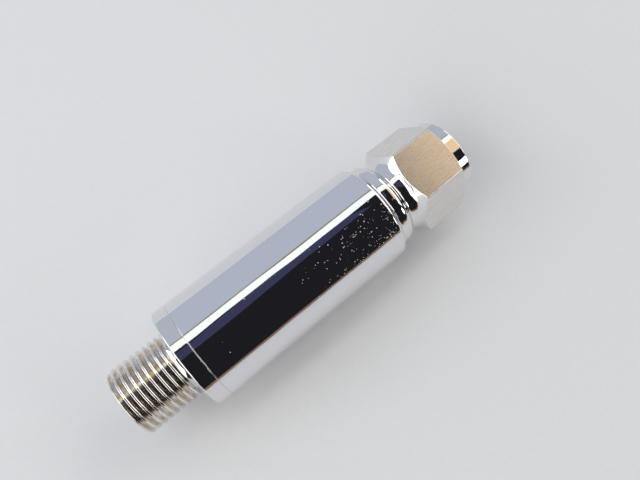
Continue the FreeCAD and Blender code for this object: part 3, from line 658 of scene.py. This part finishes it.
# Tan on the flats' lines is a painted warm reflection. The lines themselves are real.
colour = mix_colour(tree, flat_lines_painted_reflection, "Value", (0.80, 0.79, 0.79), (0.66, 0.60, 0.52))
join(tree, colour, COLOUR_OUT, shader, "Base Color")
swell = use_group(tree, swell_group, {"Along": (0.3, 0.4, 0.4)})
join(tree, place, "Vector", swell, "Vector")
wave = bump(tree, shader, swell, "Height", 0.5, 0.03)
bump(tree, shader, lined, "Value", 0.35, 0.006, wave)
nut.data.materials.append(nut_finish)

# %% [markdown]
# ## The pieces inside
# Nothing inside is plated for show. Turned brass and stainless steel carry the tool's rings, the spring is
# drawn wire, the seals are black rubber, and the strainer is woven wire. One function makes the turned
# metals, since only their colours, their roughness and the spacing of the rings differ.

# %% Turned metals
def turned_metal(name, light, dark, smooth, coarse, ring_scale):
    """Bare turned metal: rings round the axis in the colour, the roughness and the bump."""
    material, tree, shader, place = new_material(name)
    shader.inputs["Metallic"].default_value = 1.0
    rings = use_group(tree, lines_group, {"Across": (ring_scale, 0.3, 0.3), "Wander": 0.2})
    join(tree, place, "Vector", rings, "Vector")
    colour = mix_colour(tree, rings, "Mask", light, dark)
    join(tree, colour, COLOUR_OUT, shader, "Base Color")
    rough = level(tree, rings, "Mask", smooth, coarse)
    join(tree, rough, "Result", shader, "Roughness")
    bump(tree, shader, rings, "Height", 0.4, 0.01)
    return material


stem_plating = turned_metal("stem_plating", (0.78, 0.77, 0.76), (0.66, 0.63, 0.58), 0.12, 0.25, 14.0)
brass = turned_metal("turned_brass", (0.83, 0.64, 0.34), (0.62, 0.44, 0.20), 0.22, 0.38, 12.0)
stainless = turned_metal("stainless_steel", (0.62, 0.61, 0.60), (0.45, 0.45, 0.45), 0.25, 0.40, 16.0)
wire = turned_metal("spring_wire", (0.55, 0.55, 0.56), (0.36, 0.36, 0.38), 0.28, 0.42, 30.0)

spring.data.materials.append(wire)

# %% Woven wire
woven, tree, shader, place = new_material("woven_wire")
shader.inputs["Metallic"].default_value = 1.0
apart = add(tree, "ShaderNodeSeparateXYZ")
join(tree, place, "Vector", apart, "Vector")
turn = add(tree, "ShaderNodeMath", operation="ARCTAN2")
join(tree, apart, "Y", turn, 0)
join(tree, apart, "Z", turn, 1)
WIRES_ALONG, WIRES_AROUND = 26.0, 108.0
waves = []
for source, output, rate in ((apart, "X", WIRES_ALONG), (turn, "Value", WIRES_AROUND)):
    times = add(tree, "ShaderNodeMath", {1: rate}, operation="MULTIPLY")
    join(tree, source, output, times, 0)
    sine = add(tree, "ShaderNodeMath", operation="SINE")
    join(tree, times, "Value", sine, 0)
    waves.append(sine)
crossing = add(tree, "ShaderNodeMath", operation="MULTIPLY")
join(tree, waves[0], "Value", crossing, 0)
join(tree, waves[1], "Value", crossing, 1)
colour_mask = level(tree, crossing, "Value", 0, 1, -0.4, 0.4)
colour = mix_colour(tree, colour_mask, "Result", (0.16, 0.16, 0.16), (0.60, 0.59, 0.58))
join(tree, colour, COLOUR_OUT, shader, "Base Color")
rough = level(tree, colour_mask, "Result", 0.5, 0.3)
join(tree, rough, "Result", shader, "Roughness")
bump(tree, shader, crossing, "Value", 0.8, 0.05)

# %% Rubber and fibre
def soft_seal(name, dark, light, rough_low, rough_high):
    """Rubber or pressed fibre: a dull body with a fine grain."""
    material, tree, shader, place = new_material(name)
    grain = add(tree, "ShaderNodeTexNoise", {"Scale": 8.0, "Detail": 5.0})
    join(tree, place, "Vector", grain, "Vector")
    colour = mix_colour(tree, grain, "Fac", dark, light)
    join(tree, colour, COLOUR_OUT, shader, "Base Color")
    rough = level(tree, grain, "Fac", rough_low, rough_high)
    join(tree, rough, "Result", shader, "Roughness")
    bump(tree, shader, grain, "Fac", 0.3, 0.01)
    return material


rubber = soft_seal("black_rubber", (0.012, 0.012, 0.013), (0.035, 0.034, 0.034), 0.38, 0.55)
fibre = soft_seal("pressed_fibre", (0.24, 0.07, 0.04), (0.42, 0.14, 0.08), 0.6, 0.85)

# %% Give every carried-over piece its finish
FINISHES = {
    "inlet_stem": stem_plating,
    "poppet_guide": brass,
    "valve_sleeve": brass,
    "valve_seat": brass,
    "spacer_sleeve": brass,
    "poppet": brass,
    "spring_shim": stainless,
    "pad_washer": stainless,
    "poppet_nut": stainless,
    "strainer_cage": stainless,
    "strainer_mesh": woven,
    "return_spring": wire,
    "nut_snap_ring": wire,
    "port_o_ring": rubber,
    "seat_o_ring": rubber,
    "nose_o_ring": rubber,
    "poppet_pad": rubber,
    "stem_gasket": fibre,
    "barrel": mirror,
    "outlet_port": port_finish,
    "swivel_nut": nut_finish,
}
for node_name, finish in FINISHES.items():
    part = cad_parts[node_name]
    part.data.materials.clear()
    part.data.materials.append(finish)
    part.data.polygons.foreach_set("material_index", np.zeros(len(part.data.polygons), np.int32))
print("finished", len(FINISHES), "pieces; left over:", sorted(set(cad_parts) - set(FINISHES)))

# %% [markdown]
# ## The table
# The valve lies on a plain pale surface with the faintest grain. It is large, because the lower half of the
# barrel mirrors it all the way to the horizon.

# %% Pale floor
floor_mesh = bpy.data.meshes.new("floor")
HALF_FLOOR = 0.93
floor_corners = [(x * HALF_FLOOR, y * HALF_FLOOR, 0) for x, y in ((-1, -1), (1, -1), (1, 1), (-1, 1))]
floor_mesh.from_pydata(floor_corners, [], [(0, 1, 2, 3)])
floor = bpy.data.objects.new("floor", floor_mesh)
bpy.context.scene.collection.objects.link(floor)
paper, tree, shader, place = new_material("pale_floor")
grain = add(tree, "ShaderNodeTexNoise", {"Scale": 1.2, "Detail": 4.0})
join(tree, place, "Vector", grain, "Vector")
colour = mix_colour(tree, grain, "Fac", (0.80, 0.815, 0.85), (0.84, 0.855, 0.89))
join(tree, colour, COLOUR_OUT, shader, "Base Color")
shader.inputs["Roughness"].default_value = 0.85
floor_mesh.materials.append(paper)

# %% [markdown]
# ## Light for a mirror
# A mirror is lit by giving it things to reflect, so each light is placed for the shape of its reflection. The
# barrel only ever mirrors what lies across the valve, never what lies far along it. A tall pale screen stands
# across the valve and fills the upper side of the barrel, a long narrow light above it draws the white
# streak, and two dim warm strips draw the thin golden and brown lines at the edges of the bright bands. The
# lights for the table, the thread and the nut stand near the line of the valve, past its ends, where the
# barrel can't see them.

# %% Lights
def soft_light(name, place, target, size, brightness, colour):
    """A rectangular area light at place that faces target. Its power is pi times its area times its
    brightness, so a mirror shows it at that brightness whatever its size."""
    lamp = bpy.data.lights.new(name, "AREA")
    lamp.shape = "RECTANGLE"
    lamp.size, lamp.size_y = size
    lamp.energy = np.pi * size[0] * size[1] * brightness
    lamp.color = colour
    holder = bpy.data.objects.new(name, lamp)
    aim = Vector(target) - Vector(place)
    holder.rotation_euler = aim.to_track_quat("-Z", "Y").to_euler()
    holder.location = place
    holder.visible_camera = False
    bpy.context.scene.collection.objects.link(holder)
    return holder


def across(elevation, distance, x=0.0):
    """A place across the valve, this many degrees above the horizon on the +Y side."""
    angle = np.radians(elevation)
    return (x, distance * np.cos(angle), AXIS_HEIGHT + distance * np.sin(angle))


CENTRE = (0.0, 0.0, AXIS_HEIGHT)
STRIP_DISTANCE = 0.63
DAYLIGHT = (1.0, 0.985, 0.95)
soft_light("screen", (0.0, 0.74, 0.47), (0.0, 0.0, 0.10), (2.6, 1.16), 0.62, (0.80, 0.87, 1.0))
soft_light("golden_edge", across(65.0, STRIP_DISTANCE), CENTRE, (1.6, 0.017), 0.35, (1.0, 0.72, 0.30))
soft_light("streak", across(73.0, STRIP_DISTANCE), CENTRE, (1.6, 0.15), 1.25, (0.94, 1.0, 0.93))
veil = soft_light("veil", (-0.05, -0.01, 0.62), CENTRE, (0.52, 0.18), 0.09, (0.38, 0.42, 1.0))
veil.rotation_euler = (0.0, 0.0, np.radians(14))
soft_light("brown_edge", (0.0, -0.95, 0.045), CENTRE, (2.2, 0.05), 0.30, (1.0, 0.60, 0.28))
soft_light("nut_end", (0.36, -0.045, 0.56), CENTRE, (0.42, 0.15), 1.0, (1.0, 0.72, 0.44))
soft_light("window", (0.46, -0.62, 0.30), CENTRE, (0.16, 0.22), 5.0, (1.0, 0.98, 0.94))
soft_light("port_end", (-0.78, 0.0, 0.36), CENTRE, (1.5, 0.8), 2.5, DAYLIGHT)
soft_light("table", (0.85, 0.0, 0.55), CENTRE, (1.3, 0.5), 2.0, DAYLIGHT)

# %% [markdown]
# ## The room
# The room is nearly black to everything that reflects it, which gives the barrel its deep dark band. Seen
# directly it is a pale backdrop, so that the table doesn't end in a black wall.

# %% Dark room, pale backdrop
world = bpy.data.worlds.new("dark_room")
bpy.context.scene.world = world
world.use_nodes = True
room = world.node_tree
dark = room.nodes["Background"]
dark.inputs["Color"].default_value = (0.014, 0.014, 0.018, 1)
backdrop = add(room, "ShaderNodeBackground", {"Color": (0.78, 0.80, 0.84, 1)})
seen = add(room, "ShaderNodeLightPath")
either = add(room, "ShaderNodeMixShader")
join(room, seen, "Is Camera Ray", either, 0)
join(room, dark, "Background", either, 1)
join(room, backdrop, "Background", either, 2)
join(room, either, "Shader", room.nodes["World Output"], "Surface")
bpy.context.scene.view_settings.view_transform = "Standard"
print("room", world.name)

# %% [markdown]
# ## Camera
# The camera looks down at about seventy degrees from a hand's breadth away, and is turned so that the valve
# lies on a slant, with its port at the lower left and its nut at the upper right. Its axes are written as
# parts of three directions: along the valve, outward to the camera, and sideways, square to both.

# %% Camera
LIFT = np.radians(76)
STAND_OFF, STAND_ALONG = 69.78 * MM, 6.66 * MM
RIGHT_PARTS = (0.7683, 0.1568, 0.6208)
DOWN_PARTS = (-0.6027, -0.1493, 0.7841)
SENSOR, LENS = 36.0, 28.125
along = np.array([1.0, 0.0, 0.0])
outward = np.array([0.0, -np.cos(LIFT), np.sin(LIFT)])
sideways = np.array([0.0, -np.sin(LIFT), -np.cos(LIFT)])
directions = np.stack([along, outward, sideways])
right = np.array(RIGHT_PARTS) @ directions
down = np.array(DOWN_PARTS) @ directions
right /= np.linalg.norm(right)
down -= right * (down @ right)
down /= np.linalg.norm(down)
forward = np.cross(right, down)
stand = np.array([SEAM + STAND_ALONG, 0.0, AXIS_HEIGHT]) + STAND_OFF * outward
camera_data = bpy.data.cameras.new("camera")
camera_data.sensor_width = SENSOR
camera_data.lens = LENS
camera_data.clip_start = 0.002
camera = bpy.data.objects.new("camera", camera_data)
turn_to = Matrix((right, -down, -forward)).transposed()
camera.matrix_world = Matrix.Translation(Vector(stand)) @ turn_to.to_4x4()
bpy.context.scene.collection.objects.link(camera)
bpy.context.scene.camera = camera
print("camera at", stand, "looking along", forward)
